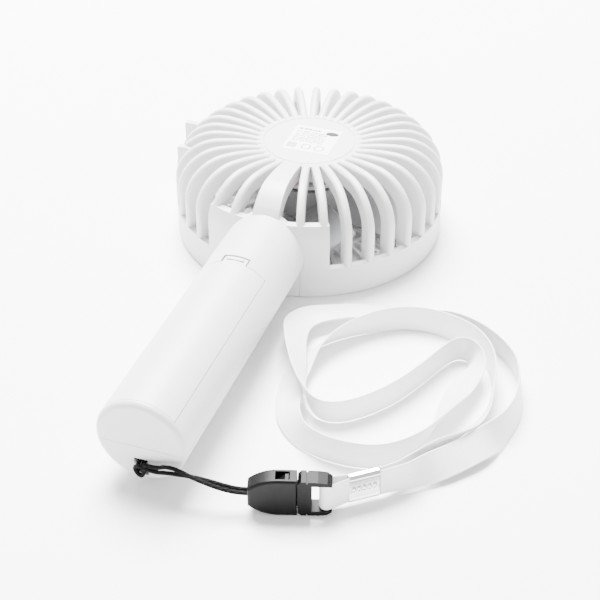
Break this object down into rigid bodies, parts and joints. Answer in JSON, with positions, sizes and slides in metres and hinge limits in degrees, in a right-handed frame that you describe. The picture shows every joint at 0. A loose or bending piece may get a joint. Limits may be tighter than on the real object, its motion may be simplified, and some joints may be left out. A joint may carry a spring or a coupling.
{
  "type": "handheld electric fan",
  "caption": "Handheld electric fan with a caged round head, a straight round battery handle, and a neck strap of thin cord, side-release buckle and ribbon.",
  "frame": {"origin": "centre of the flat front face of the head, on the head's axis", "axes": "+Z out of the fan's back, -Y along the handle from the head to its tail"},
  "size_m": [0.1605, 0.2182, 0.0405],
  "materials": {
    "shell": "satin white ABS",
    "grille": "satin white ABS",
    "impeller": "pale grey ABS",
    "steel": "nickel plated",
    "laminations": "varnished laminations",
    "ferrite": "sintered ferrite",
    "black_plastic": "moulded",
    "brass": "stamped",
    "bronze": "sintered bronze",
    "cell_sleeve": "shrink sleeve",
    "board": "solder mask",
    "button": "satin",
    "lens": "clear acrylic",
    "label": "printed film label",
    "red_pvc": "wire insulation",
    "black_pvc": "wire insulation",
    "black_cord": "braided nylon cord",
    "buckle": "moulded acetal",
    "ribbon": "satin polyester ribbon",
    "crimp": "nickel-plated clip"
  },
  "bodies": {
    "housing": {"battery_cell": "cell_sleeve", "battery_contact": "brass", "battery_lead": "black_pvc", "battery_spring": "steel", "buckle_insert": "buckle", "buckle_socket": "buckle", "circuit_board": "board", "cord_hitch": "black_cord", "front_bush": "bronze", "front_grille": "grille", "front_housing": "shell", "housing_screws": "steel", "light_pipe": "lens", "loop_cord_left": "black_cord", "loop_cord_right": "black_cord", "motor_can": "steel", "motor_end_cap": "black_plastic", "motor_lead_black": "black_pvc", "motor_lead_red": "red_pvc", "motor_magnets": "ferrite", "motor_retainer": "grille", "motor_screws": "steel", "motor_terminals": "brass", "neck_ribbon": "ribbon", "rear_bush": "bronze", "rear_housing": "shell", "rear_label": "label", "ribbon_crimp": "crimp", "ribbon_tab": "ribbon", "status_led": "lens", "switch_body": "black_plastic", "usb_socket": "steel"},
    "rotor": {"impeller": "impeller", "motor_shaft": "steel", "motor_armature": "laminations"},
    "button": {"power_button": "button", "switch_plunger": "black_plastic"},
    "door": {"battery_door": "shell"},
    "latch": {"door_latch": "shell"},
    "prong_upper": {"buckle_prong_upper": "buckle"},
    "prong_lower": {"buckle_prong_lower": "buckle"}
  },
  "joints": [
    {"name": "rotor_spin", "type": "hinge", "parent": "housing", "child": "rotor", "pos_m": [0, 0, 0.015], "axis": [0, 0, 1], "continuous": true},
    {"name": "button_press", "type": "slide", "parent": "housing", "child": "button", "axis": [0, 0, 1], "range_m": [0, 0.0004], "stiffness_N_per_m": 2500},
    {"name": "door_hinge", "type": "hinge", "parent": "housing", "child": "door", "pos_m": [0, -0.15985, 0.0333], "axis": [1, 0, 0], "range_deg": [0, 75]},
    {"name": "latch_press", "type": "hinge", "parent": "door", "child": "latch", "pos_m": [0, -0.08175, 0.0326], "axis": [-1, 0, 0], "range_deg": [0, 6], "stiffness_Nm_per_rad": 0.5},
    {"name": "upper_prong_squeeze", "type": "hinge", "parent": "housing", "child": "prong_upper", "pos_m": [0.05068, -0.15581, 0.0106], "axis": [0.2924, -0.9563, 0], "range_deg": [0, 10.5], "stiffness_Nm_per_rad": 0.2},
    {"name": "lower_prong_squeeze", "type": "hinge", "parent": "housing", "child": "prong_lower", "pos_m": [0.05068, -0.15581, 0.0038], "axis": [-0.2924, 0.9563, 0], "range_deg": [0, 10.5], "stiffness_Nm_per_rad": 0.2}
  ]
}
